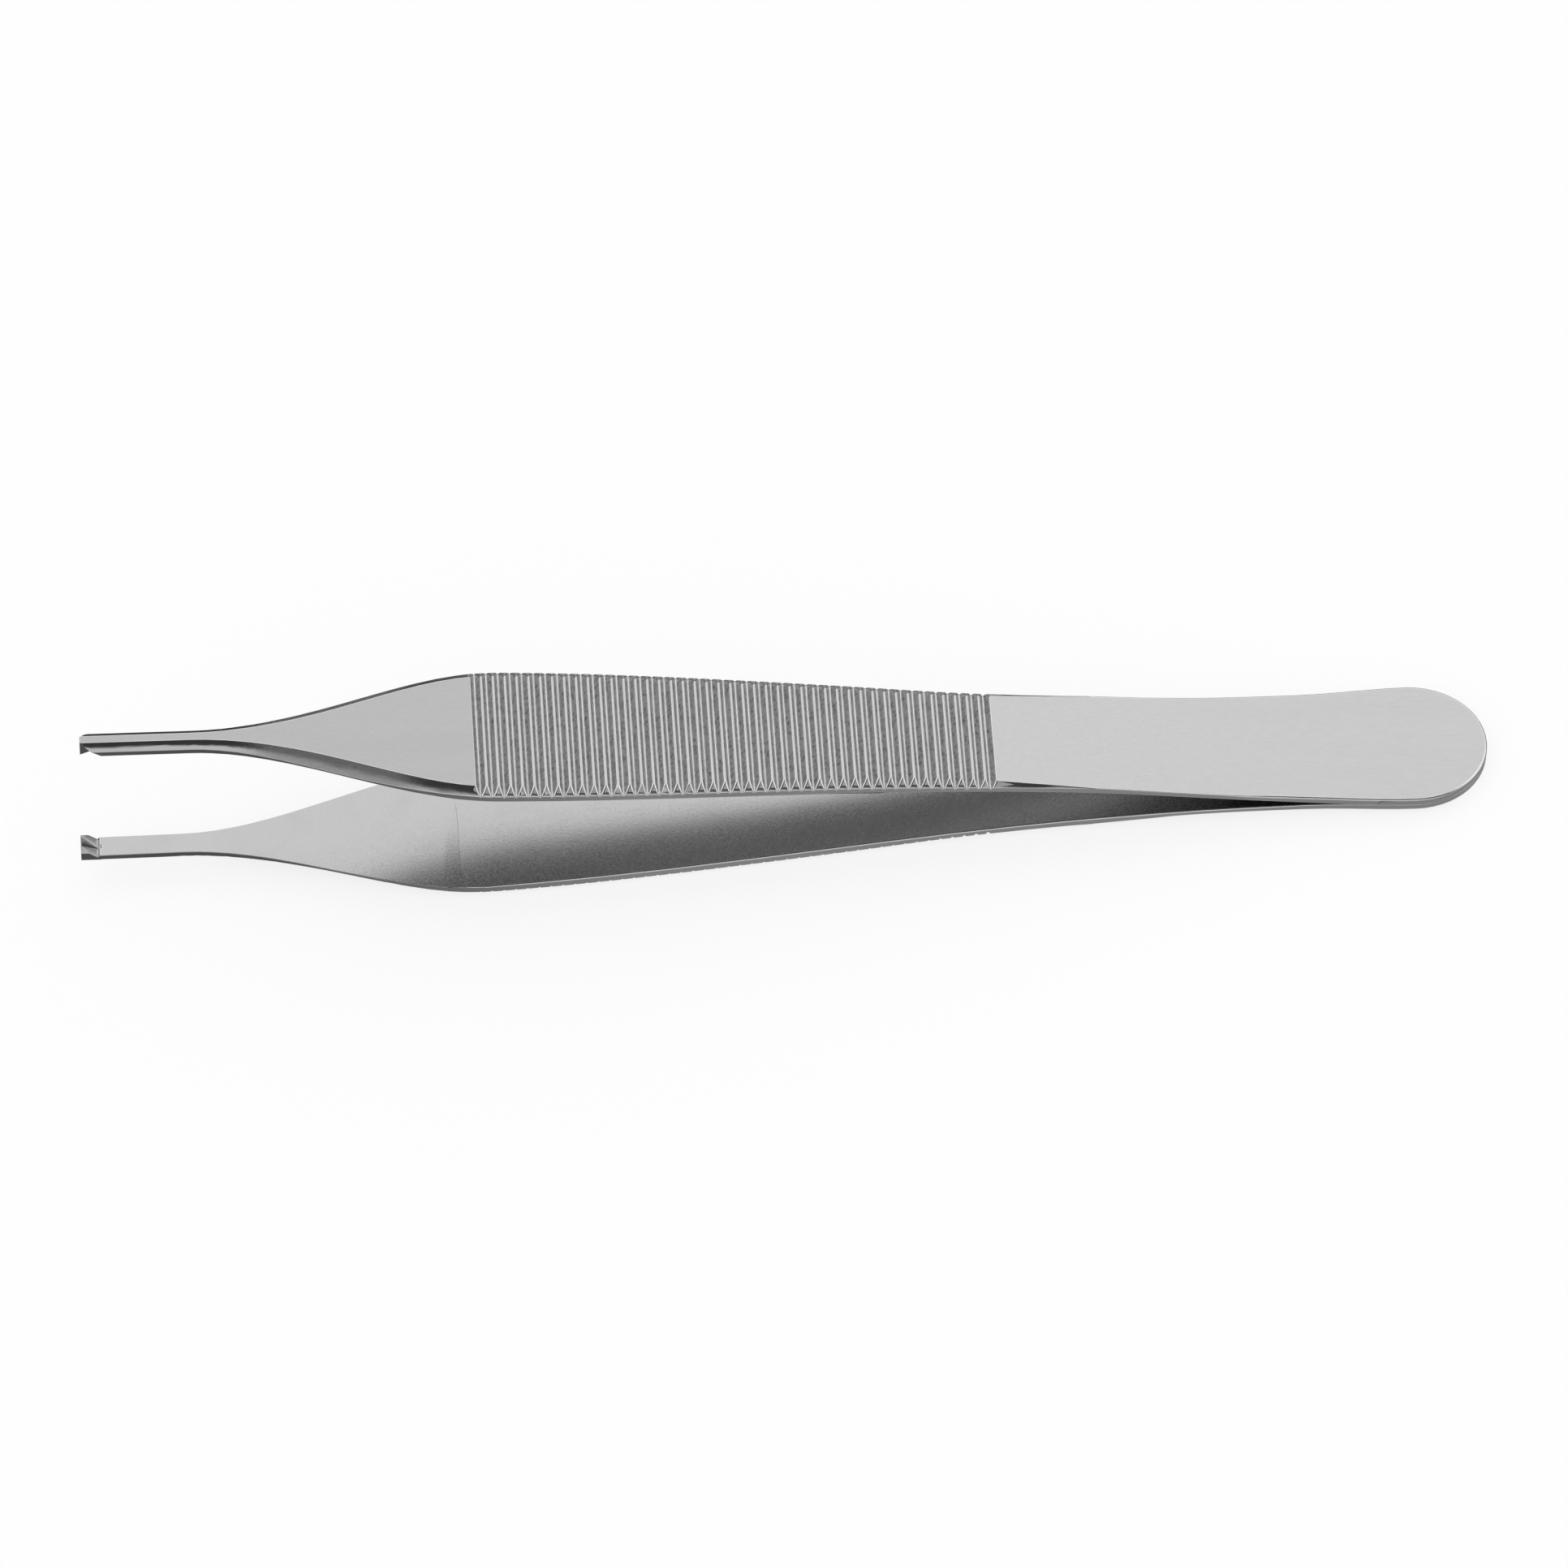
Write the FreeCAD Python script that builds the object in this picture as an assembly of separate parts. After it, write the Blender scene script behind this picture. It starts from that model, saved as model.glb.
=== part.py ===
import FreeCAD, Part
import math
import os

"""Toothed thumb forceps of 12 cm: two springy steel arms welded face to face at the heel.

All lengths are in millimetres. Each arm is first drawn with its tip at X = 0, its heel at +X,
its width along Y and its inner face looking down on the plane Z = 0 where both arms meet. The
finished pair is then pitched until it lies on the lower arm's grip and the end of its heel.
"""

Vector = FreeCAD.Vector

# Overall sizes
LENGTH = 120.0
TIP_OPENING = 14.78

# Width of an arm across its inner face, and where along the arm it applies
TIP_WIDTH = 1.93
GRIP_WIDTH = 12.9
WAIST_WIDTH = 9.65
HEEL_WIDTH = 11.85
FLARE_START = 9.4
GRIP_STATION = 35.2
WAIST_FROM_HEEL = 36.5
NECK_FROM_HEEL = 16.0
NECK_WIDTH = 10.84
HEEL_ROUND_LENGTH = 6.5
LOWER_FLARE_LEAD = 1.0
LOWER_TIP_LEAD = 0.29

# Clear gap between the arms behind the tips
JAW_GAP_STATION = 14.0
JAW_GAP = 14.4
GRIP_GAP_STATION = 32.0
GRIP_GAP = 12.86
MIDDLE_GAP_STATION = 58.0
MIDDLE_GAP = 9.08
SPRING_GAP_FROM_HEEL = 34.0
SPRING_GAP = 3.76
ROOT_GAP_FROM_HEEL = 21.0
ROOT_GAP = 1.11
WELD_LENGTH = 10.0

# Thickness of one arm
TIP_THICKNESS = 1.15
GRIP_THICKNESS = 1.34
SPRING_THICKNESS = 0.6
HEEL_THICKNESS = 0.725
JAW_THICK_END = 20.0
GRIP_THICK_START = 38.0
GRIP_THICK_END = 64.0
SPRING_THIN_FROM_HEEL = 25.0

# Rounded outer shoulders: width of the rounding, its slope and the turn of its arc
SHOULDER_WIDTH_TIP = 0.61
SHOULDER_WIDTH_FLARE = 0.98
SHOULDER_WIDTH_GRIP = 0.68
SHOULDER_FLARE_STATION = 22.0
SHOULDER_SLOPE_TIP = 45.0
SHOULDER_SLOPE_GRIP = 39.0
SHOULDER_TURN_TIP = 44.0
SHOULDER_TURN_GRIP = 18.0
SHOULDER_FADE_START = 70.0
SHOULDER_FADE_END = 88.0

# Cross serrations of the grip
SERRATION_START = 33.6
SERRATION_PITCH = 1.01
SERRATION_COUNT = 44
SERRATION_DEPTH = 0.61
SERRATION_TIP_RUN = 0.325
SERRATION_HEEL_RUN = 0.4
SERRATION_FLOOR = 0.09

# The single tooth of the upper arm
TOOTH_HEIGHT = 1.02
TOOTH_LENGTH = 1.55
TOOTH_LAND = 0.06
TOOTH_ROOT_WIDTH = 0.68
RELIEF_OUTER_LENGTH = 0.12
RELIEF_INNER_LENGTH = 1.75

# The pair of teeth of the lower arm, with the valley that the single tooth enters
PAIR_HEIGHT = 1.0
PAIR_SPACING = 1.1
PAIR_BACK_LENGTH = 1.3
PAIR_FLANK_DROP = 0.6
VALLEY_DEPTH = 0.38
VALLEY_LENGTH = 1.45
VALLEY_RUNOUT = 0.38
GULLET_DEPTH = 0.22
GULLET_START = 1.42
GULLET_END = 1.6

# Working values: overshoot of cutting shapes, how deep a tooth's stock is set into its arm, and
# spacing of the lofted sections
CLEAR = 1.0
TOOTH_EMBED = 0.3
SECTION_STEP = 2.0
ARC_OVERSHOOT = 7.0
GROOVE_OVERSHOOT = 1.1

# The lower arm's tip, measured from the upper arm's
TIP_SHIFT = Vector(-LOWER_TIP_LEAD, 0, 0)


class Rail:
    """A smooth line along the arm through knots of (station, value) or (station, value, slope)."""

    def __init__(self, knots):
        self.knots = []
        for i, knot in enumerate(knots):
            before = knots[max(i - 1, 0)]
            after = knots[min(i + 1, len(knots) - 1)]
            chord = (after[1] - before[1]) / (after[0] - before[0])
            self.knots.append((knot[0], knot[1], knot[2] if len(knot) == 3 else chord))

    def span(self, station):
        """The two knots around a station."""
        for first, last in zip(self.knots, self.knots[1:]):
            if station <= last[0]:
                return first, last
        return self.knots[-2], self.knots[-1]

    def at(self, station):
        """Value at a station; past either end the line runs on straight."""
        (x0, v0, s0), (x1, v1, s1) = self.knots[0], self.knots[-1]
        if station <= x0:
            return v0 + s0 * (station - x0)
        if station >= x1:
            return v1 + s1 * (station - x1)
        (x0, v0, s0), (x1, v1, s1) = self.span(station)
        h = x1 - x0
        t = (station - x0) / h
        return (
            (2 * t**3 - 3 * t**2 + 1) * v0
            + (t**3 - 2 * t**2 + t) * h * s0
            + (3 * t**2 - 2 * t**3) * v1
            + (t**3 - t**2) * h * s1
        )

    def slope(self, station, reach=0.01):
        """Rise per millimetre at a station."""
        return (self.at(station + reach) - self.at(station - reach)) / (2 * reach)

    def plus(self, other):
        """The sum of two rails, exact because it has the knots of both."""
        stations = sorted({k[0] for k in self.knots} | {k[0] for k in other.knots})
        return Rail([(x, self.at(x) + other.at(x), self.slope(x) + other.slope(x)) for x in stations])

    def edges(self, place):
        """One edge for each span, where place turns (station, value) into a point."""
        found = []
        for (x0, v0, s0), (x1, v1, s1) in zip(self.knots, self.knots[1:]):
            third = (x1 - x0) / 3
            if v0 == v1 and s0 == s1 == 0.0:
                found.append(Part.makeLine(place(x0, v0), place(x1, v1)))
                continue
            found.append(curve(
                place(x0, v0),
                place(x0 + third, v0 + s0 * third),
                place(x1 - third, v1 - s1 * third),
                place(x1, v1),
            ))
        return found


def curve(*poles):
    """An edge that follows its poles."""
    line = Part.BezierCurve()
    line.setPoles(list(poles))
    return line.toShape()


def prism(points, travel):
    """A closed outline of points, swept in a straight line."""
    return Part.Face(Part.makePolygon(points + points[:1])).extrude(travel)


def plan_rail(flare_lead, tip_lead):
    """Half the arm's width along its length; the leads move the flare and the tip forward."""
    waist = LENGTH - WAIST_FROM_HEEL
    shoulder = LENGTH - HEEL_ROUND_LENGTH
    return Rail([
        (-tip_lead, TIP_WIDTH / 2, 0.0),
        (FLARE_START - flare_lead, TIP_WIDTH / 2, 0.0),
        (GRIP_STATION - flare_lead, GRIP_WIDTH / 2, 0.0),
        (waist, WAIST_WIDTH / 2, 0.0),
        (LENGTH - NECK_FROM_HEEL, NECK_WIDTH / 2),
        (shoulder, HEEL_WIDTH / 2, 0.0),
    ])


# Half the gap between the arms, an arm's thickness and its outer face, all along X
INNER = Rail([
    (0.0, TIP_OPENING / 2),
    (JAW_GAP_STATION, JAW_GAP / 2),
    (GRIP_GAP_STATION, GRIP_GAP / 2),
    (MIDDLE_GAP_STATION, MIDDLE_GAP / 2),
    (LENGTH - SPRING_GAP_FROM_HEEL, SPRING_GAP / 2),
    (LENGTH - ROOT_GAP_FROM_HEEL, ROOT_GAP / 2),
    (LENGTH - WELD_LENGTH, 0.0, 0.0),
])
THICKNESS = Rail([
    (0.0, TIP_THICKNESS, 0.0),
    (JAW_THICK_END, TIP_THICKNESS, 0.0),
    (GRIP_THICK_START, GRIP_THICKNESS, 0.0),
    (GRIP_THICK_END, GRIP_THICKNESS, 0.0),
    (LENGTH - SPRING_THIN_FROM_HEEL, SPRING_THICKNESS, 0.0),
    (LENGTH - WELD_LENGTH, HEEL_THICKNESS, 0.0),
])
OUTER = INNER.plus(THICKNESS)

# Slope, width and turn of the rounded shoulder, and how far it has left the corner
SLOPE = Rail([
    (0.0, SHOULDER_SLOPE_TIP, 0.0),
    (SHOULDER_FLARE_STATION, SHOULDER_SLOPE_TIP, 0.0),
    (GRIP_STATION, SHOULDER_SLOPE_GRIP, 0.0),
])
LEDGE = Rail([
    (0.0, SHOULDER_WIDTH_TIP, 0.0),
    (FLARE_START, SHOULDER_WIDTH_TIP, 0.0),
    (SHOULDER_FLARE_STATION, SHOULDER_WIDTH_FLARE, 0.0),
    (GRIP_STATION, SHOULDER_WIDTH_GRIP, 0.0),
])
TURN = Rail([
    (0.0, SHOULDER_TURN_TIP, 0.0),
    (SHOULDER_FLARE_STATION, SHOULDER_TURN_TIP, 0.0),
    (GRIP_STATION, SHOULDER_TURN_GRIP, 0.0),
])
SHOULDER_DEPTH = SHOULDER_WIDTH_GRIP * math.sin(math.radians(SHOULDER_SLOPE_GRIP))
FADE = Rail([
    (0.0, 0.0, 0.0),
    (SHOULDER_FADE_START, 0.0, 0.0),
    (SHOULDER_FADE_END, SHOULDER_DEPTH),
])


def plan_prism(half_width):
    """The arm's outline seen from above, standing taller than the arm."""
    shoulder = LENGTH - HEEL_ROUND_LENGTH
    half_heel = HEEL_WIDTH / 2
    round_pole = 4 * (math.sqrt(2) - 1) / 3
    tip = half_width.knots[0][0]
    edges = [Part.makeLine(Vector(tip, -TIP_WIDTH / 2, 0), Vector(tip, TIP_WIDTH / 2, 0))]
    edges += half_width.edges(lambda x, v: Vector(x, v, 0))
    for side in (1, -1):
        edges.append(curve(
            Vector(shoulder, side * half_heel, 0),
            Vector(shoulder + round_pole * HEEL_ROUND_LENGTH, side * half_heel, 0),
            Vector(LENGTH, side * round_pole * half_heel, 0),
            Vector(LENGTH, 0, 0),
        ))
    edges += half_width.edges(lambda x, v: Vector(x, -v, 0))
    outline = Part.Face(Part.Wire(Part.__sortEdges__(edges)))
    outline.translate(Vector(0, 0, -CLEAR))
    return outline.extrude(Vector(0, 0, TIP_OPENING / 2 + TIP_THICKNESS + GRIP_THICKNESS + CLEAR))


def side_prism():
    """The arm seen from the side, swept wider than the arm."""
    half_sweep = GRIP_WIDTH / 2 + HEEL_WIDTH
    place = lambda x, v: Vector(x, -half_sweep, v)
    weld = LENGTH - WELD_LENGTH
    inner_tip, outer_tip = INNER.at(0.0), OUTER.at(0.0)
    edges = INNER.edges(place) + OUTER.edges(place)
    corners = [
        place(0.0, inner_tip),
        place(-CLEAR, inner_tip),
        place(-CLEAR, outer_tip),
        place(0.0, outer_tip),
    ]
    edges += Part.makePolygon(corners).Edges
    corners = [
        place(weld, 0.0),
        place(LENGTH + CLEAR, 0.0),
        place(LENGTH + CLEAR, HEEL_THICKNESS),
        place(weld, HEEL_THICKNESS),
    ]
    edges += Part.makePolygon(corners).Edges
    return Part.Face(Part.Wire(Part.__sortEdges__(edges))).extrude(Vector(0, 2 * half_sweep, 0))


def shoulder_section(half_width, station, side):
    """Outline of the stock ground off one outer corner, at a station along the arm."""
    slope = math.radians(SLOPE.at(station))
    half_turn = math.radians(TURN.at(station) / 2)
    chord = LEDGE.at(station) / math.cos(slope)
    radius = chord / 2 / math.sin(half_turn)
    out = Vector(0, side * math.sin(slope), math.cos(slope))
    down = Vector(0, side * math.cos(slope), -math.sin(slope))
    corner = Vector(station, side * half_width.at(station), OUTER.at(station))
    middle = corner - side_step(slope, station, side) + out * FADE.at(station)
    centre = middle - out * (radius * math.cos(half_turn))
    reach = half_turn + math.radians(ARC_OVERSHOOT)
    high = centre + out * (radius * math.cos(reach)) - down * (radius * math.sin(reach))
    low = centre + out * (radius * math.cos(reach)) + down * (radius * math.sin(reach))
    away = out * (2 * CLEAR)
    arc = Part.Arc(high, centre + out * radius, low).toShape()
    return Part.Wire([arc] + Part.makePolygon([low, low + away, high + away, high]).Edges)


def side_step(slope, station, side):
    """From the sharp corner to the middle of the shoulder's chord."""
    width = LEDGE.at(station)
    return Vector(0, side * width / 2, width * math.tan(slope) / 2)


def shoulder_cutter(half_width, side):
    """All that is ground off one outer corner, from the tip to where the shoulder fades out."""
    sections = []
    station = -CLEAR
    while station < SHOULDER_FADE_END + 2 * SECTION_STEP:
        sections.append(shoulder_section(half_width, station, side))
        station += SECTION_STEP
    return Part.makeLoft(sections, True, False)


def serration(number):
    """The stock cut from one serration: a flat-bottomed V, steeper on its tip side."""
    station = SERRATION_START + number * SERRATION_PITCH
    lean = math.atan(OUTER.slope(station))
    along = Vector(math.cos(lean), 0, math.sin(lean))
    normal = Vector(-math.sin(lean), 0, math.cos(lean))
    half_sweep = GRIP_WIDTH / 2 + CLEAR
    crest = Vector(station, -half_sweep, OUTER.at(station))
    bottom = crest - normal * SERRATION_DEPTH
    floor_end = bottom + along * SERRATION_FLOOR
    tip_side = bottom + (normal * SERRATION_DEPTH - along * SERRATION_TIP_RUN) * GROOVE_OVERSHOOT
    heel_side = floor_end + (normal * SERRATION_DEPTH + along * SERRATION_HEEL_RUN) * GROOVE_OVERSHOOT
    return prism([tip_side, bottom, floor_end, heel_side], Vector(0, 2 * half_sweep, 0))


def arm_blank(half_width, side_shape):
    """One arm with its shoulders and serrations, before its tip is toothed."""
    arm = plan_prism(half_width).common(side_shape)
    arm = arm.cut([shoulder_cutter(half_width, side) for side in (1, -1)])
    return arm.cut([serration(i) for i in range(SERRATION_COUNT)])


def single_tooth(arm):
    """The arm with one pointed tooth in the middle of its tip, its flanks relieved on both sides."""
    face = INNER.at(0.0)
    back = OUTER.at(0.0)
    point = face - TOOTH_HEIGHT
    half_root = TOOTH_ROOT_WIDTH / 2
    root = prism(
        [
            Vector(0, -half_root, face + TOOTH_EMBED),
            Vector(0, -half_root, point),
            Vector(TOOTH_LENGTH, -half_root, face),
            Vector(TOOTH_LENGTH, -half_root, face + TOOTH_EMBED),
        ],
        Vector(0, TOOTH_ROOT_WIDTH, 0),
    )
    ramp = (RELIEF_INNER_LENGTH - RELIEF_OUTER_LENGTH) / (back - face)
    top, low = back + CLEAR, point - CLEAR
    top_length = RELIEF_INNER_LENGTH - ramp * (top - face)
    low_length = RELIEF_INNER_LENGTH - ramp * (low - face)
    flank = (half_root - TOOTH_LAND / 2) / (back - point)
    cutters = []
    for side in (1, -1):
        ahead = prism(
            [
                Vector(-2 * CLEAR, 0, top),
                Vector(top_length, 0, top),
                Vector(low_length, 0, low),
                Vector(-2 * CLEAR, 0, low),
            ],
            Vector(0, side * 2 * TIP_WIDTH, 0),
        )
        beside = prism(
            [
                Vector(-2 * CLEAR, side * (half_root + flank * (top - back)), top),
                Vector(-2 * CLEAR, side * 2 * TIP_WIDTH, top),
                Vector(-2 * CLEAR, side * 2 * TIP_WIDTH, point),
                Vector(-2 * CLEAR, side * TOOTH_LAND / 2, point),
            ],
            Vector(low_length + 4 * CLEAR, 0, 0),
        )
        cutters.append(ahead.common(beside))
    return arm.fuse(root).cut(cutters).removeSplitter()


def pair_root():
    """The wedge that stands on the tip's inner face and carries both points of the pair."""
    face = INNER.at(0.0)
    point = face - PAIR_HEIGHT
    return prism(
        [
            Vector(-CLEAR, -TIP_WIDTH, face + TOOTH_EMBED),
            Vector(-CLEAR, -TIP_WIDTH, point),
            Vector(0, -TIP_WIDTH, point),
            Vector(PAIR_BACK_LENGTH, -TIP_WIDTH, face),
            Vector(PAIR_BACK_LENGTH, -TIP_WIDTH, face + TOOTH_EMBED),
        ],
        Vector(0, 2 * TIP_WIDTH, 0),
    )


def tooth_pair(arm):
    """The arm with its wedge cut into two points, a valley between them and a gullet behind."""
    face = INNER.at(0.0)
    point = face - PAIR_HEIGHT
    half_tip = TIP_WIDTH / 2
    rear = (GULLET_END - GULLET_START) / GULLET_DEPTH
    gullet = prism(
        [
            Vector(0, -TIP_WIDTH, point),
            Vector(GULLET_START, -TIP_WIDTH, face + GULLET_DEPTH),
            Vector(GULLET_END + rear * CLEAR, -TIP_WIDTH, face - CLEAR),
            Vector(0, -TIP_WIDTH, face - CLEAR),
        ],
        Vector(0, 2 * TIP_WIDTH, 0),
    )
    half_pair = PAIR_SPACING / 2
    valley = prism(
        [
            Vector(-CLEAR, 0, face + VALLEY_DEPTH),
            Vector(-CLEAR, half_pair, point),
            Vector(-CLEAR, half_pair, point - CLEAR),
            Vector(-CLEAR, -half_pair, point - CLEAR),
            Vector(-CLEAR, -half_pair, point),
        ],
        Vector(VALLEY_LENGTH + VALLEY_RUNOUT + 3 * CLEAR, 0, 0),
    )
    rise = VALLEY_RUNOUT / VALLEY_DEPTH
    runout = prism(
        [
            Vector(-2 * CLEAR, -TIP_WIDTH, face + VALLEY_DEPTH + CLEAR),
            Vector(VALLEY_LENGTH - rise * CLEAR, -TIP_WIDTH, face + VALLEY_DEPTH + CLEAR),
            Vector(VALLEY_LENGTH + VALLEY_RUNOUT + rise * CLEAR, -TIP_WIDTH, face - CLEAR),
            Vector(VALLEY_LENGTH + VALLEY_RUNOUT + rise * CLEAR, -TIP_WIDTH, point - 2 * CLEAR),
            Vector(-2 * CLEAR, -TIP_WIDTH, point - 2 * CLEAR),
        ],
        Vector(0, 2 * TIP_WIDTH, 0),
    )
    cutters = [gullet, valley.common(runout)]
    flank = PAIR_FLANK_DROP / (half_tip - half_pair)
    for side in (1, -1):
        cutters.append(prism(
            [
                Vector(-CLEAR, side * half_pair, point),
                Vector(-CLEAR, side * (half_pair + CLEAR), point + flank * CLEAR),
                Vector(-CLEAR, side * (half_pair + CLEAR), point - CLEAR),
                Vector(-CLEAR, side * half_pair, point - CLEAR),
            ],
            Vector(GULLET_END + CLEAR, 0, 0),
        ))
    return arm.cut([cutter.translated(TIP_SHIFT) for cutter in cutters])


def rest_pitch():
    """Angle that lays the lower arm's grip and the end of its heel on one level."""
    steepest = 0.0
    for step in range(int(LENGTH - WELD_LENGTH)):
        rise = (OUTER.at(float(step)) - HEEL_THICKNESS) / (LENGTH - step)
        steepest = max(steepest, rise)
    return math.degrees(math.atan(steepest))


def laid_down(arms):
    """The arms as they lie, with the origin under the middle of the pair at floor level."""
    pitch = rest_pitch()
    for arm in arms:
        arm.rotate(Vector(0, 0, 0), Vector(0, 1, 0), pitch)
    box = arms[0].optimalBoundingBox(False, False)
    box.add(arms[1].optimalBoundingBox(False, False))
    shift = Vector(-box.Center.x, -box.Center.y, -box.ZMin)
    for arm in arms:
        arm.translate(shift)
    return arms


upper_arm = single_tooth(arm_blank(plan_rail(0.0, 0.0), side_prism()))
lower_arm = tooth_pair(arm_blank(
    plan_rail(LOWER_FLARE_LEAD, LOWER_TIP_LEAD),
    side_prism().fuse(pair_root().translated(TIP_SHIFT)),
))
lower_arm = lower_arm.mirror(Vector(0, 0, 0), Vector(0, 0, 1))
upper_arm, lower_arm = laid_down([upper_arm, lower_arm])

os.makedirs("parts", exist_ok=True)
for name, arm in (("upper_arm", upper_arm), ("lower_arm", lower_arm)):
    solid = arm.Solids[0]
    solid.exportStep("parts/" + name + ".step")
    print(name, "solids", len(arm.Solids), "valid", solid.isValid(), "volume", round(solid.Volume, 2))
print("rest pitch", round(rest_pitch(), 3))
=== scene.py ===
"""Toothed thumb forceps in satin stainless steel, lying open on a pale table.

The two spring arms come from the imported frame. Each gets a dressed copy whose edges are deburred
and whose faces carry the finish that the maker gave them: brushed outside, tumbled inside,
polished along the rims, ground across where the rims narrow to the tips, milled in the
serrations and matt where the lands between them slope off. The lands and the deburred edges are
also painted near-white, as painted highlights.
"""

import logging
import math
from dataclasses import dataclass
from enum import Enum
from typing import Any

import bpy
from mathutils import Matrix, Vector


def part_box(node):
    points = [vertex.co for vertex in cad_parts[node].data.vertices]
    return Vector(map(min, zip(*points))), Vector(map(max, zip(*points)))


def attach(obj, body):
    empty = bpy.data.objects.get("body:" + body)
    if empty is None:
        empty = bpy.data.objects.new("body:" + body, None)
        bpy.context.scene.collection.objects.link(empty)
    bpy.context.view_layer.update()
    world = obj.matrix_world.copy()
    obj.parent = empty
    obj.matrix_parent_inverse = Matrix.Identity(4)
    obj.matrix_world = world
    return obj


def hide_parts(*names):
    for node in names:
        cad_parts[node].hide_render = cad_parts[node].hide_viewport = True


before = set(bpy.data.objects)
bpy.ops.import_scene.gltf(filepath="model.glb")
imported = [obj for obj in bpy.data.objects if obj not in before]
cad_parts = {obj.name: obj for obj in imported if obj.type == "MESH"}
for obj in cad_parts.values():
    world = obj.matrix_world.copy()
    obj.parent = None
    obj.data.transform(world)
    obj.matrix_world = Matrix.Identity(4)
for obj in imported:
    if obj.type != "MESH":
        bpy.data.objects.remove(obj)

LOG = logging.getLogger("forceps")
MM = 0.001
BODY = "root"

# How the forceps lie: the arms' own axis is pitched by this much, tips up
REST_PITCH = math.radians(4.754)
ALONG = Vector((math.cos(REST_PITCH), 0.0, -math.sin(REST_PITCH)))
UPWARD = Vector((math.sin(REST_PITCH), 0.0, math.cos(REST_PITCH)))
ARM_LENGTH = 120.0 * MM
HEEL_END = Vector((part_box("lower_arm")[1].x, 0.0, 0.0))

# The levels between which most of a noise lies
NOISE_LOW = 0.3
NOISE_HIGH = 0.7

# The noise levels at which a stain begins to show and is full
STAIN_START = 0.48
STAIN_FULL = 0.72


def srgb(code: str) -> tuple[float, float, float, float]:
    """Turn an sRGB hex colour into linear RGBA.

    Args:
        code: The colour as six hex digits, with or without a leading hash.

    Returns:
        Red, green, blue and alpha in linear light.
    """
    digits = code.lstrip("#")
    channels = [int(digits[i:i + 2], 16) / 255 for i in (0, 2, 4)]
    linear = [c / 12.92 if c <= 0.04045 else ((c + 0.055) / 1.055) ** 2.4 for c in channels]
    return (linear[0], linear[1], linear[2], 1.0)


def empty_tree(owner: bpy.types.Material | bpy.types.World) -> bpy.types.NodeTree:
    """Give a material or the world an empty node tree.

    Args:
        owner: The material or world.

    Returns:
        Its node tree.
    """
    owner.use_nodes = True
    owner.node_tree.nodes.clear()
    return owner.node_tree


def add_node(tree: bpy.types.NodeTree, kind: str,
             settings: dict[str | int, Any] | None = None) -> bpy.types.Node:
    """Add one shader node, set its values and join its inputs.

    Args:
        tree: The node tree that gets the node.
        kind: Blender's name for the node's type.
        settings: Values by input name, input number or node property. Another node's output is
            joined to the input.

    Returns:
        The new node.
    """
    node = tree.nodes.new(kind)
    for name, value in (settings or {}).items():
        if isinstance(value, bpy.types.NodeSocket):
            tree.links.new(value, node.inputs[name])
        elif isinstance(name, int) or name in node.inputs:
            node.inputs[name].default_value = value
        else:
            setattr(node, name, value)
    return node


def calculate(tree: bpy.types.NodeTree, operation: str,
              *terms: bpy.types.NodeSocket | float) -> bpy.types.NodeSocket:
    """Work out one number from others.

    Args:
        tree: The node tree.
        operation: Blender's name for the operation.
        terms: Numbers, or other nodes' outputs.

    Returns:
        The result.
    """
    settings = {"operation": operation, **dict(enumerate(terms))}
    return add_node(tree, "ShaderNodeMath", settings).outputs[0]


def blend(tree: bpy.types.NodeTree, share: bpy.types.NodeSocket,
          before: bpy.types.NodeSocket | float,
          after: bpy.types.NodeSocket | float) -> bpy.types.NodeSocket:
    """Mix two levels.

    Args:
        tree: The node tree.
        share: The share of the second level.
        before: The first level.
        after: The second level.

    Returns:
        The mixed level.
    """
    settings = {"data_type": "FLOAT", 0: share, 2: before, 3: after}
    return add_node(tree, "ShaderNodeMix", settings).outputs[0]


def ramp(tree: bpy.types.NodeTree, value: bpy.types.NodeSocket, start: tuple[float, float],
         end: tuple[float, float], shape: str = "LINEAR") -> bpy.types.NodeSocket:
    """Go from one level to another as a value changes, and stay level beyond both ends.

    Args:
        tree: The node tree.
        value: The value that the level follows.
        start: Value and level at one end.
        end: Value and level at the other end.
        shape: Blender's name for the way between them.

    Returns:
        The level.
    """
    settings = {
        "interpolation_type": shape,
        "From Min": start[0],
        "To Min": start[1],
        "From Max": end[0],
        "To Max": end[1],
        "Value": value,
    }
    return add_node(tree, "ShaderNodeMapRange", settings).outputs[0]


def deselect_all() -> None:
    """Leave edit mode and deselect every object, because loading selects the frame's nodes."""
    if bpy.context.object and bpy.context.object.mode != "OBJECT":
        bpy.ops.object.mode_set(mode="OBJECT")
    bpy.ops.object.select_all(action="DESELECT")


def make_active(piece: bpy.types.Object) -> None:
    """Select one object alone and make it the active one."""
    deselect_all()
    piece.select_set(True)
    bpy.context.view_layer.objects.active = piece


def faces_by_edge(
        piece: bpy.types.Object) -> dict[tuple[int, int], list[bpy.types.MeshPolygon]]:
    """List the faces on each edge of a piece.

    Args:
        piece: The object with the mesh.

    Returns:
        The faces by the edge's key.
    """
    faces_at: dict[tuple[int, int], list[bpy.types.MeshPolygon]] = {}
    for face in piece.data.polygons:
        for key in face.edge_keys:
            faces_at.setdefault(key, []).append(face)
    return faces_at


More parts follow.
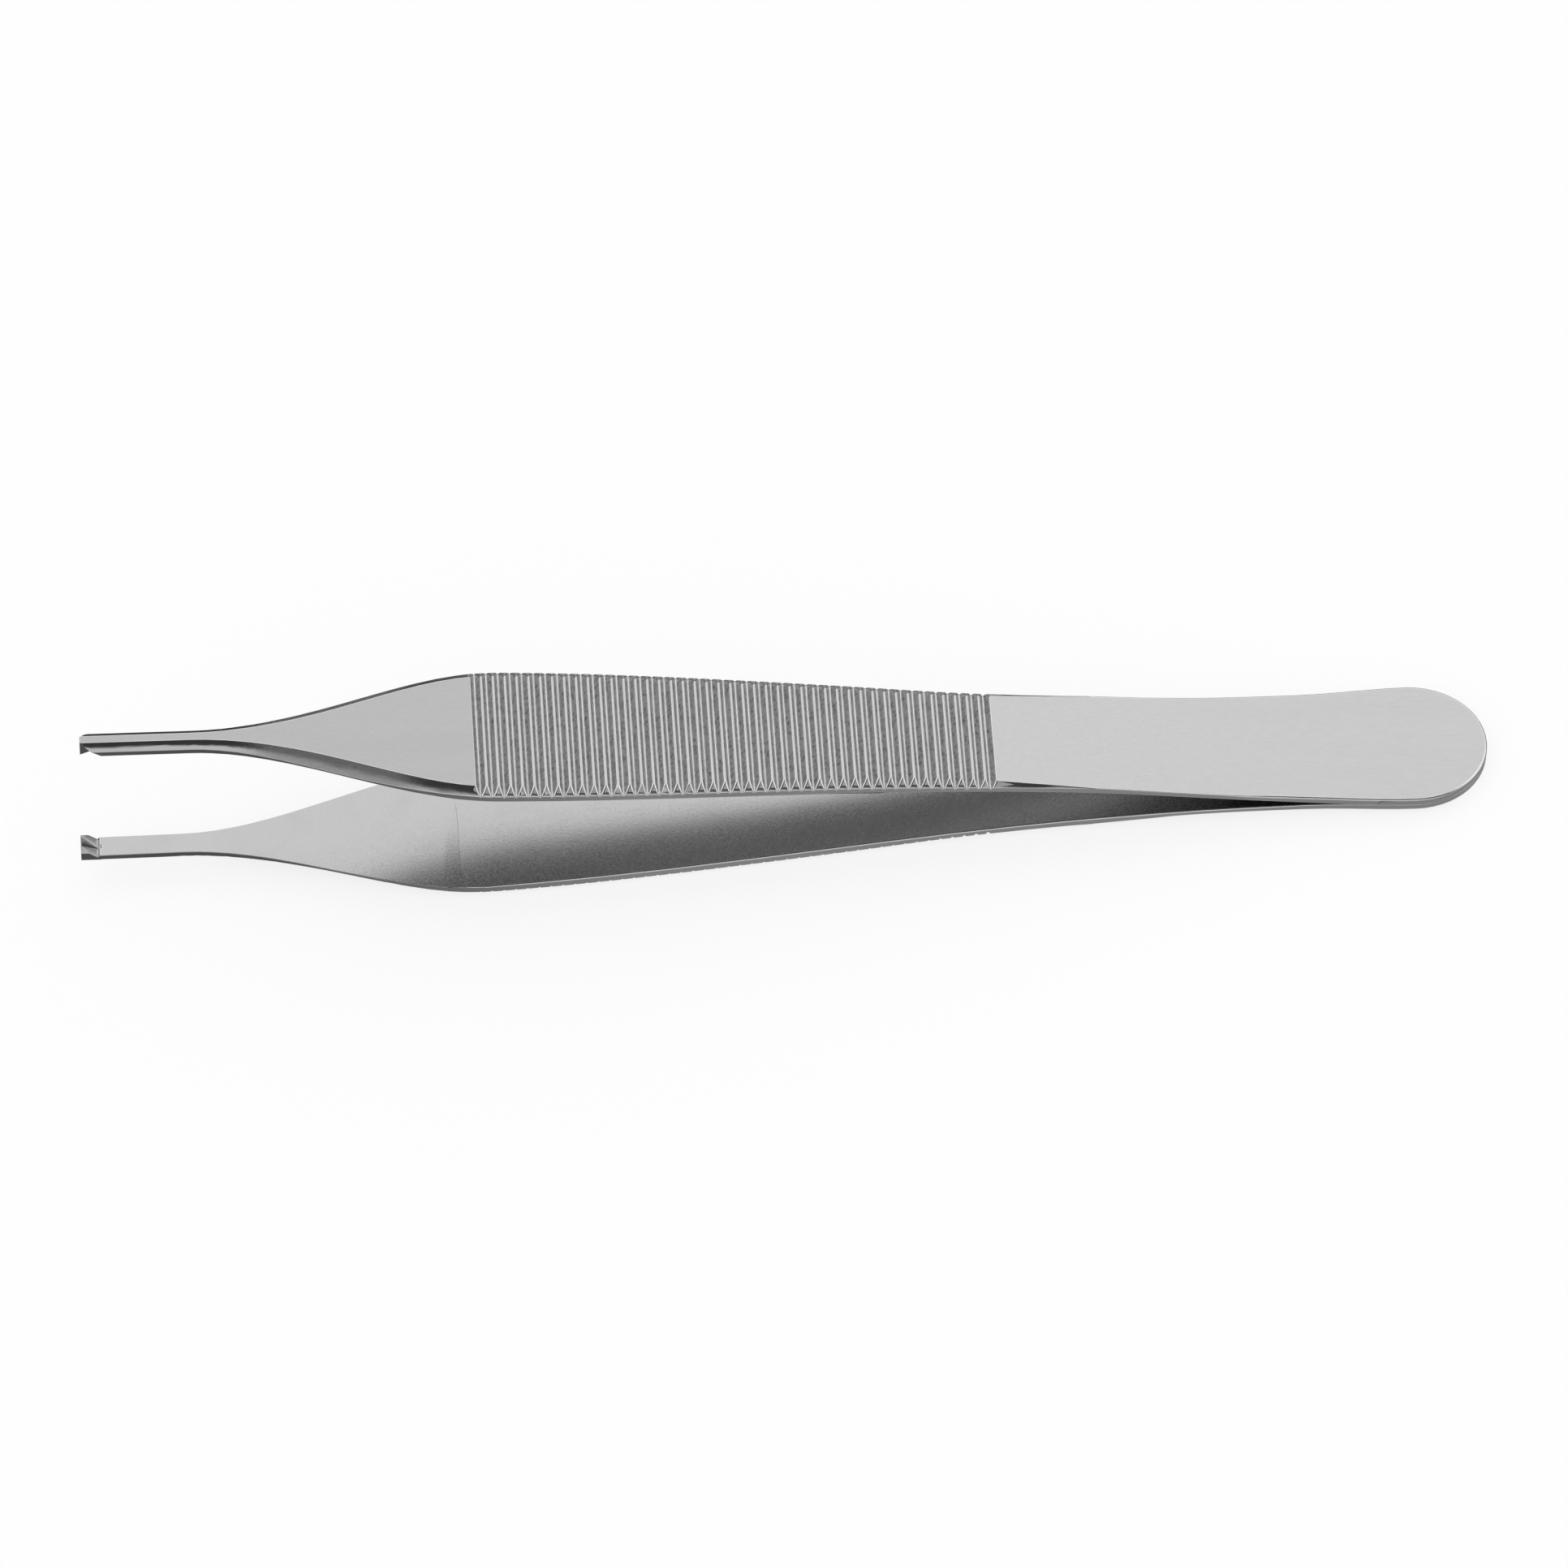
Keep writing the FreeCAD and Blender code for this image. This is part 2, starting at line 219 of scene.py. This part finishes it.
class Grain(Enum):
    """Which way the marks of the last working step run: their stretch along each axis."""

    LENGTHWISE = (24.0, 1.0, 1.0)
    CROSSWISE = (1.0, 24.0, 1.0)
    UPRIGHT = (1.0, 1.0, 12.0)
    PEBBLED = (1.0, 1.0, 1.0)

    def noise(self, tree: bpy.types.NodeTree, size_mm: float, detail: float,
              roughness: float) -> bpy.types.NodeSocket:
        """Add a noise whose marks run with the grain, pitched like the arms.

        Args:
            tree: The material's node tree.
            size_mm: Width of one mark in millimetres.
            detail: How many finer layers the noise has.
            roughness: How strong the finer layers are.

        Returns:
            The noise.
        """
        place = add_node(tree, "ShaderNodeTexCoord")
        mapping = add_node(tree, "ShaderNodeMapping", {
            "Vector": place.outputs["Object"],
            "Rotation": (0.0, -REST_PITCH, 0.0),
            "Scale": [1.0 / (size_mm * MM * stretch) for stretch in self.value],
        })
        marks = add_node(tree, "ShaderNodeTexNoise", {
            "Vector": mapping.outputs["Vector"],
            "Scale": 1.0,
            "Detail": detail,
            "Roughness": roughness,
        })
        return marks.outputs[0]


@dataclass(frozen=True)
class HandGround:
    """A stretch of the arms where the rims were dressed by hand, across a fine wheel."""

    middle: float = -37.5 * MM
    half_length: float = 4.5 * MM
    fade: float = 4.5 * MM
    roughness: float = 0.44
    roughness_swing: float = 0.10
    streak_mm: float = 0.09
    streak_height: float = 3.0

    def share(self, tree: bpy.types.NodeTree) -> bpy.types.NodeSocket:
        """Tell how far a place belongs to the stretch.

        Args:
            tree: The material's node tree.

        Returns:
            One within the stretch, none away from it.
        """
        place = add_node(tree, "ShaderNodeTexCoord")
        spot = add_node(tree, "ShaderNodeSeparateXYZ", {0: place.outputs["Object"]})
        from_middle = calculate(tree, "SUBTRACT", spot.outputs["X"], self.middle)
        distance = calculate(tree, "ABSOLUTE", from_middle)
        end = self.half_length + self.fade
        return ramp(tree, distance, (self.half_length, 1.0), (end, 0.0), "SMOOTHSTEP")

    def streak(self, tree: bpy.types.NodeTree, roughness: bpy.types.NodeSocket,
               height: bpy.types.NodeSocket) -> tuple[bpy.types.NodeSocket, bpy.types.NodeSocket]:
        """Lay crosswise streaks over a finish.

        Args:
            tree: The material's node tree.
            roughness: Roughness without the streaks.
            height: Height of the grain without the streaks.

        Returns:
            Roughness and height with the streaks.
        """
        share = self.share(tree)
        streaks = Grain.CROSSWISE.noise(tree, self.streak_mm, detail=2.0, roughness=0.6)
        low, high = self.roughness - self.roughness_swing, self.roughness + self.roughness_swing
        rough = ramp(tree, streaks, (NOISE_LOW, low), (NOISE_HIGH, high))
        raised = ramp(tree, streaks, (NOISE_LOW, 0.0), (NOISE_HIGH, self.streak_height))
        return blend(tree, share, roughness, rough), blend(tree, share, height, raised)


@dataclass(frozen=True)
class SteelFinish:
    """One way in which the stainless steel was worked, as a procedural material; the near-white
    ones carry a painted highlight in their colour.
    """

    name: str
    colour: str
    stain: str
    stain_share: float
    roughness: float
    roughness_swing: float
    grain: Grain
    grain_mm: float
    grain_depth_mm: float
    stain_mm: float = 2.6
    stain_grain: Grain | None = None
    ground: HandGround | None = None

    def material(self) -> bpy.types.Material:
        """Build the finish as a Blender material.

        Returns:
            The material.
        """
        made = bpy.data.materials.new(self.name)
        tree = empty_tree(made)
        fine = self.grain.noise(tree, self.grain_mm, detail=3.0, roughness=0.6)
        stain_grain = self.stain_grain or self.grain
        cloud = stain_grain.noise(tree, self.stain_mm, detail=2.0, roughness=0.5)
        patches = ramp(tree, cloud, (STAIN_START, 0.0), (STAIN_FULL, self.stain_share))
        tint = add_node(tree, "ShaderNodeMix", {
            "data_type": "RGBA",
            0: patches,
            6: srgb(self.colour),
            7: srgb(self.stain),
        })
        low, high = self.roughness - self.roughness_swing, self.roughness + self.roughness_swing
        roughness = ramp(tree, fine, (NOISE_LOW, low), (NOISE_HIGH, high))
        height = fine
        if self.ground:
            roughness, height = self.ground.streak(tree, roughness, height)
        relief = add_node(tree, "ShaderNodeBump", {
            "Strength": 1.0,
            "Distance": self.grain_depth_mm * MM,
            "Height": height,
        })
        shader = add_node(tree, "ShaderNodeBsdfPrincipled", {
            "Metallic": 1.0,
            "Base Color": tint.outputs[2],
            "Roughness": roughness,
            "Normal": relief.outputs[0],
        })
        add_node(tree, "ShaderNodeOutputMaterial", {"Surface": shader.outputs[0]})
        return made


class Zone(Enum):
    """The parts of an arm's skin, each with the finish that its working left; the lands and
    deburred edges are painted near-white as painted highlights.
    """

    OUTER = SteelFinish("brushed_outer_steel", "#CECECE", "#C9C9C9", 0.3, 0.30, 0.05,
                        Grain.LENGTHWISE, 0.11, 0.0014)
    TAPER = SteelFinish("ground_taper_steel", "#C1C1C1", "#B8B8B8", 0.4, 0.30, 0.05,
                        Grain.LENGTHWISE, 0.09, 0.0018)
    INNER = SteelFinish("tumbled_inner_steel", "#CDCDCD", "#C4C4C4", 0.4, 0.24, 0.05,
                        Grain.PEBBLED, 0.20, 0.0045)
    SHOULDER = SteelFinish("polished_shoulder_steel", "#C9C9C9", "#C0C0C0", 0.5, 0.18, 0.04,
                           Grain.LENGTHWISE, 0.10, 0.0015, ground=HandGround())
    # Painted highlight: the sloping lands between the grooves are near-white, lighter than the
    # steel's own colour. Their matt roughness is real.
    LAND = SteelFinish("matt_land_painted_highlight_steel", "#F0F0F0", "#E6E6E6", 0.5, 0.60, 0.06,
                       Grain.PEBBLED, 0.08, 0.0015)
    SIDE = SteelFinish("ground_side_steel", "#C9C9C9", "#BEBEBE", 0.5, 0.26, 0.05,
                       Grain.LENGTHWISE, 0.09, 0.0015)
    # The serration grooves are mottled darker, down to mid grey in patches about 0.34 mm across.
    GROOVE = SteelFinish("milled_serration_steel", "#CCCCCC", "#868686", 0.9, 0.40, 0.06,
                         Grain.CROSSWISE, 0.08, 0.002, stain_mm=0.34, stain_grain=Grain.PEBBLED)
    TEETH = SteelFinish("filed_tooth_steel", "#C4C4C4", "#B4B4B4", 0.5, 0.26, 0.05,
                        Grain.UPRIGHT, 0.07, 0.0015)
    # Painted highlight: the deburred edges are near-white, lighter than the steel's own colour, so
    # that they glint. Their rounding is real.
    EDGE = SteelFinish("deburred_edge_painted_highlight_steel", "#F2F2F2", "#E8E8E8", 0.5, 0.22, 0.03,
                       Grain.PEBBLED, 0.10, 0.001)


ZONES = tuple(Zone)
FLAT_ZONES = {Zone.OUTER, Zone.TAPER, Zone.INNER}
RIM_ZONES = {Zone.SHOULDER, Zone.LAND, Zone.SIDE}


@dataclass
class ForcepsArm:
    """One spring arm: its deburred copy, with a finish for each zone of its skin."""

    node: str
    outward: float
    finishes: dict[Zone, bpy.types.Material]
    merge_distance: float = 0.001 * MM
    flat_limit: float = math.radians(0.4)

    # Where the zones begin and end, from the tips
    teeth_end: float = 1.9 * MM
    serration_start: float = 33.0 * MM
    serration_end: float = 78.2 * MM
    heel_start: float = 98.0 * MM
    weld_start: float = 100.0 * MM

    # How far a face of each zone looks outward, sideways or lengthwise, as a part of one
    inner_facing: float = -0.8
    side_facing: float = 0.2
    land_facing: float = math.cos(math.radians(44.0))
    rim_lean: float = 0.2
    end_lean: float = 0.3

    # How narrow the flat root of a groove is
    root_limit: float = 0.14 * MM

    # How wide sharp edges are deburred
    deburr_width: float = 0.045 * MM
    groove_end_width: float = 0.12 * MM
    inner_rim_width: float = 0.16 * MM
    heel_rim_width: float = 0.18 * MM
    widest_deburr: float = 0.18 * MM
    deburr_segments: int = 4
    sharp_angle: float = math.radians(26.0)
    normal_weight: int = 100

    def merged_copy(self) -> bpy.types.Object:
        """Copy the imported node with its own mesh, joined up and free of needless edges.

        Returns:
            The new object at the origin.
        """
        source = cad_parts[self.node]
        piece = bpy.data.objects.new(f"{self.node}_steel", source.data.copy())
        bpy.context.scene.collection.objects.link(piece)
        make_active(piece)
        bpy.ops.object.mode_set(mode="EDIT")
        bpy.ops.mesh.select_all(action="SELECT")
        bpy.ops.mesh.remove_doubles(threshold=self.merge_distance)
        bpy.ops.mesh.dissolve_limited(angle_limit=self.flat_limit)
        bpy.ops.object.mode_set(mode="OBJECT")
        return piece

    def station(self, point: Vector) -> float:
        """Distance from the tips to a point, along the arms."""
        return ARM_LENGTH + (point - HEEL_END).dot(ALONG)

    def in_serrations(self, station: float) -> bool:
        """Tell whether a station lies in the serrated stretch."""
        return self.serration_start < station < self.serration_end

    def zone_of(self, centre: Vector, normal: Vector) -> Zone:
        """Tell which working a face of the skin had, from its place and the way it looks.

        Args:
            centre: The face's middle.
            normal: The face's outward normal.

        Returns:
            The zone that the face belongs to.
        """
        facing = normal.dot(UPWARD) * self.outward
        lengthwise = abs(normal.dot(ALONG))
        station = self.station(centre)
        if station < self.teeth_end and (lengthwise > self.end_lean or facing < self.side_facing):
            return Zone.TEETH
        if facing < self.inner_facing:
            return Zone.INNER
        if abs(facing) < self.side_facing:
            return Zone.SIDE
        serrated = self.in_serrations(station)
        if abs(normal.y) > self.rim_lean:
            return Zone.LAND if serrated and facing > self.land_facing else Zone.SHOULDER
        if serrated and lengthwise > self.end_lean:
            return Zone.GROOVE
        return Zone.TAPER if station < self.serration_start else Zone.OUTER

    def is_groove_root(self, piece: bpy.types.Object, face: bpy.types.MeshPolygon) -> bool:
        """Tell a groove's narrow flat root from the wider land between two grooves.

        Args:
            piece: The arm's copy.
            face: A flat face of the serrations.

        Returns:
            Whether the face is a root.
        """
        across = [piece.data.vertices[i].co.y for i in face.vertices]
        return face.area < self.root_limit * (max(across) - min(across))

    def paint(self, piece: bpy.types.Object) -> None:
        """Give each face of the copy the material of its zone.

        Args:
            piece: The arm's copy.
        """
        piece.data.materials.clear()
        for zone in ZONES:
            piece.data.materials.append(self.finishes[zone])
        for face in piece.data.polygons:
            zone = self.zone_of(face.center, face.normal)
            serrated = self.in_serrations(self.station(face.center))
            if zone is Zone.OUTER and serrated and self.is_groove_root(piece, face):
                zone = Zone.GROOVE
            face.material_index = ZONES.index(zone)

    def deburr_of(self, zones: set[Zone], station: float) -> float:
        """Tell how wide the deburr of a sharp edge is.

        Args:
            zones: The zones on both sides of the edge.
            station: The edge's distance from the tips.

        Returns:
            The deburr's width.
        """
        if Zone.GROOVE in zones and zones & RIM_ZONES:
            return self.groove_end_width
        if Zone.OUTER in zones and station > self.heel_start:
            return self.heel_rim_width
        if zones == {Zone.INNER, Zone.SIDE} and self.serration_start < station < self.weld_start:
            return self.inner_rim_width
        return self.deburr_width

    def weigh_edges(self, piece: bpy.types.Object) -> None:
        """Set the share of the widest deburr that each sharp edge gets.

        Args:
            piece: The painted copy.
        """
        faces_at = faces_by_edge(piece)
        weights = piece.data.attributes.new("bevel_weight_edge", "FLOAT", "EDGE")
        for edge in piece.data.edges:
            faces = faces_at.get(edge.key, [])
            if len(faces) != 2:
                continue
            if faces[0].normal.angle(faces[1].normal, 0.0) < self.sharp_angle:
                continue
            zones = {ZONES[face.material_index] for face in faces}
            width = self.deburr_of(zones, self.station(faces[0].center))
            weights.data[edge.index].value = width / self.widest_deburr

    def break_edges(self, piece: bpy.types.Object) -> None:
        """Round every sharp edge a little, as tumbling and hand polishing leave it.

        Args:
            piece: The painted copy.
        """
        self.weigh_edges(piece)
        make_active(piece)
        bevel = piece.modifiers.new("deburr", "BEVEL")
        bevel.width = self.widest_deburr
        bevel.segments = self.deburr_segments
        bevel.limit_method = "WEIGHT"
        bevel.use_clamp_overlap = False
        # The rounded faces take the near-white edge finish: a painted highlight along every
        # deburred edge.
        bevel.material = ZONES.index(Zone.EDGE)
        bpy.ops.object.modifier_apply(modifier=bevel.name)
        bpy.ops.object.shade_smooth_by_angle(angle=self.sharp_angle)
        self.mark_borders(piece)
        level = piece.modifiers.new("level_faces", "WEIGHTED_NORMAL")
        level.keep_sharp = True
        level.weight = self.normal_weight
        bpy.ops.object.modifier_apply(modifier=level.name)

    def mark_borders(self, piece: bpy.types.Object) -> None:
        """Mark the flat faces' borders as sharp, so that their shading stays flat.

        Args:
            piece: The deburred copy.
        """
        faces_at = faces_by_edge(piece)
        for edge in piece.data.edges:
            zones = {ZONES[face.material_index] for face in faces_at.get(edge.key, [])}
            if len(zones) > 1 and zones & FLAT_ZONES and Zone.EDGE not in zones:
                edge.use_edge_sharp = True

    def build(self) -> bpy.types.Object:
        """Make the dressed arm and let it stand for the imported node.

        Returns:
            The finished piece.
        """
        piece = self.merged_copy()
        self.paint(piece)
        self.break_edges(piece)
        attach(piece, BODY)
        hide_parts(self.node)
        LOG.info("%s: %d faces", piece.name, len(piece.data.polygons))
        return piece


@dataclass
class TableTop:
    """The pale surface that the forceps lie on."""

    width: float = 6.0
    colour: str = "#FBFBFB"

    # How bright the camera sees it, and how much of that is glow
    shown_level: float = 1.0
    glow: float = 0.8

    # How bright the steel sees it close by: at the tips and at the grips, then the share behind
    tip_x: float = -0.045
    tip_level: float = 0.12
    grip_x: float = -0.012
    grip_level: float = 0.36
    behind_share: float = 0.5
    behind_y: float = 0.007
    beside_y: float = -0.003

    # How much brighter it gets towards the front
    near_y: float = -0.02
    front_y: float = -0.10
    front_gain: float = 0.50

    def seen_level(self, tree: bpy.types.NodeTree) -> bpy.types.NodeSocket:
        """Tell how bright the steel sees the table: dim by the tips and behind, bright in front.

        Args:
            tree: The material's node tree.

        Returns:
            The brightness.
        """
        place = add_node(tree, "ShaderNodeTexCoord")
        spot = add_node(tree, "ShaderNodeSeparateXYZ", {0: place.outputs["Object"]})
        along, across = spot.outputs["X"], spot.outputs["Y"]
        beside = ramp(tree, along, (self.tip_x, self.tip_level), (self.grip_x, self.grip_level))
        share = ramp(tree, across, (self.behind_y, self.behind_share), (self.beside_y, 1.0))
        front = ramp(tree, across, (self.near_y, 0.0), (self.front_y, self.front_gain))
        return calculate(tree, "MULTIPLY_ADD", beside, share, front)

    def material(self) -> bpy.types.Material:
        """Make white laminate that is evenly white to the camera, though not to the steel.

        Returns:
            The material.
        """
        made = bpy.data.materials.new("white_table")
        tree = empty_tree(made)
        path = add_node(tree, "ShaderNodeLightPath")
        shown, mirrored = path.outputs["Is Camera Ray"], path.outputs["Is Glossy Ray"]
        share = calculate(tree, "MULTIPLY_ADD", shown, self.glow, mirrored)
        strength = blend(tree, shown, self.seen_level(tree), self.shown_level)
        plain = add_node(tree, "ShaderNodeBsdfDiffuse", {"Color": srgb(self.colour)})
        white = add_node(tree, "ShaderNodeEmission", {"Strength": strength})
        mixed = add_node(tree, "ShaderNodeMixShader", {
            0: share,
            1: plain.outputs[0],
            2: white.outputs[0],
        })
        add_node(tree, "ShaderNodeOutputMaterial", {"Surface": mixed.outputs[0]})
        return made

    def build(self) -> bpy.types.Object:
        """Lay the table top under the forceps.

        Returns:
            The table top.
        """
        deselect_all()
        bpy.ops.mesh.primitive_plane_add(size=self.width, location=(0.0, 0.0, 0.0))
        table = bpy.context.object
        table.name = "table_top"
        table.data.materials.append(self.material())
        LOG.info("%s: %.1f m wide", table.name, self.width)
        return table


@dataclass(frozen=True)
class Glow:
    """One soft-edged bright patch of the room, round the way it lies from the forceps."""

    azimuth: float
    elevation: float
    core: float
    edge: float
    level: float

    def way(self) -> tuple[float, float, float]:
        """Turn the patch's angles into a direction.

        Returns:
            The direction: azimuth 0 is straight behind the forceps, and 90 is their heel's side.
        """
        azimuth, elevation = math.radians(self.azimuth), math.radians(self.elevation)
        return (
            math.sin(azimuth) * math.cos(elevation),
            math.cos(azimuth) * math.cos(elevation),
            math.sin(elevation),
        )

    def add_to(self, tree: bpy.types.NodeTree, looking: bpy.types.NodeSocket,
               so_far: bpy.types.NodeSocket | float) -> bpy.types.NodeSocket:
        """Add this patch to the brightness of the room.

        Args:
            tree: The world's node tree.
            looking: The direction that is looked at.
            so_far: Brightness without this patch.

        Returns:
            Brightness with it.
        """
        nearness = add_node(tree, "ShaderNodeVectorMath", {
            "operation": "DOT_PRODUCT",
            0: looking,
            1: self.way(),
        })
        edge, core = math.cos(math.radians(self.edge)), math.cos(math.radians(self.core))
        patch = ramp(tree, nearness.outputs["Value"], (edge, 0.0), (core, self.level),
                     "SMOOTHSTEP")
        return calculate(tree, "ADD", so_far, patch)


@dataclass
class Studio:
    """A dim room with soft lights: high and low behind, low in front and at both sides."""

    dim_level: float = 0.05
    # How bright matt surfaces and the camera see the room, evenly all round
    matt_level: float = 1.0
    shown_level: float = 1.0
    glows: tuple[Glow, ...] = (
        Glow(azimuth=4.0, elevation=52.0, core=22.0, edge=40.0, level=0.86),
        Glow(azimuth=180.0, elevation=-4.0, core=24.0, edge=46.0, level=0.75),
        Glow(azimuth=90.0, elevation=30.0, core=20.0, edge=37.0, level=1.0),
        Glow(azimuth=-90.0, elevation=30.0, core=20.0, edge=37.0, level=1.0),
        Glow(azimuth=40.0, elevation=20.0, core=10.0, edge=30.0, level=0.36),
        Glow(azimuth=-40.0, elevation=20.0, core=10.0, edge=30.0, level=0.36),
    )
    lamp_place: tuple[float, float, float] = (0.15, 0.30, 0.40)
    lamp_width: float = 0.3
    lamp_power: float = 0.03

    def build_world(self) -> None:
        """Shade the room with its soft lights; matt surfaces see it evenly lit."""
        world = bpy.data.worlds.new("studio_room")
        bpy.context.scene.world = world
        tree = empty_tree(world)
        looking = add_node(tree, "ShaderNodeTexCoord").outputs["Generated"]
        brightness = self.dim_level
        for glow in self.glows:
            brightness = glow.add_to(tree, looking, brightness)
        path = add_node(tree, "ShaderNodeLightPath")
        lit = blend(tree, path.outputs["Is Diffuse Ray"], brightness, self.matt_level)
        strength = blend(tree, path.outputs["Is Camera Ray"], lit, self.shown_level)
        light = add_node(tree, "ShaderNodeBackground", {
            "Color": (1.0, 1.0, 1.0, 1.0),
            "Strength": strength,
        })
        add_node(tree, "ShaderNodeOutputWorld", {"Surface": light.outputs[0]})

    def build_lamp(self) -> bpy.types.Object:
        """Hang one soft lamp above and behind the heel.

        Returns:
            The lamp.
        """
        deselect_all()
        place = Vector(self.lamp_place)
        bpy.ops.object.light_add(type="AREA", location=place)
        lamp = bpy.context.object
        lamp.name = "heel_softbox"
        lamp.data.shape = "SQUARE"
        lamp.data.size = self.lamp_width
        lamp.data.energy = self.lamp_power
        lamp.rotation_euler = (-place).to_track_quat("-Z", "Y").to_euler()
        return lamp

    def build(self) -> None:
        """Make the room and the lamp."""
        self.build_world()
        self.build_lamp()
        LOG.info("studio: %d soft lights in a dim room", len(self.glows))


@dataclass
class PhotoCamera:
    """The camera as it stood for the photograph."""

    azimuth: float = math.radians(1.514)
    elevation: float = math.radians(55.157)
    roll: float = math.radians(-6.105)
    distance: float = 1.0
    lens_mm: float = 269.25
    sensor_mm: float = 36.0
    nearest: float = 0.05
    farthest: float = 20.0
    aim: tuple[float, float, float] = (0.175 * MM, -0.874 * MM, 5.093 * MM)

    def build(self) -> bpy.types.Object:
        """Set the camera up and make it the scene's own.

        Returns:
            The camera.
        """
        back = Vector((
            math.sin(self.azimuth) * math.cos(self.elevation),
            -math.cos(self.azimuth) * math.cos(self.elevation),
            math.sin(self.elevation),
        ))
        level = Vector((math.cos(self.azimuth), math.sin(self.azimuth), 0.0))
        upright = back.cross(level)
        right = math.cos(self.roll) * level + math.sin(self.roll) * upright
        up = math.cos(self.roll) * upright - math.sin(self.roll) * level
        deselect_all()
        bpy.ops.object.camera_add()
        camera = bpy.context.object
        camera.name = "photo_camera"
        camera.data.lens = self.lens_mm
        camera.data.sensor_width = self.sensor_mm
        camera.data.clip_start = self.nearest
        camera.data.clip_end = self.farthest
        camera.data.dof.use_dof = False
        turn = Matrix((right, up, back)).transposed().to_4x4()
        camera.matrix_world = Matrix.Translation(Vector(self.aim) + back * self.distance) @ turn
        bpy.context.scene.camera = camera
        LOG.info("%s: %.0f mm lens", camera.name, self.lens_mm)
        return camera


def main() -> None:
    """Build the camera, the studio, the table and both arms."""
    logging.basicConfig(level=logging.INFO, format="%(message)s")
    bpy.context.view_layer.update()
    bpy.context.scene.view_settings.view_transform = "Standard"
    PhotoCamera().build()
    Studio().build()
    TableTop().build()
    finishes = {zone: zone.value.material() for zone in Zone}
    ForcepsArm("upper_arm", 1.0, finishes).build()
    ForcepsArm("lower_arm", -1.0, finishes, groove_end_width=0.05 * MM).build()


if __name__ == "__main__":
    main()
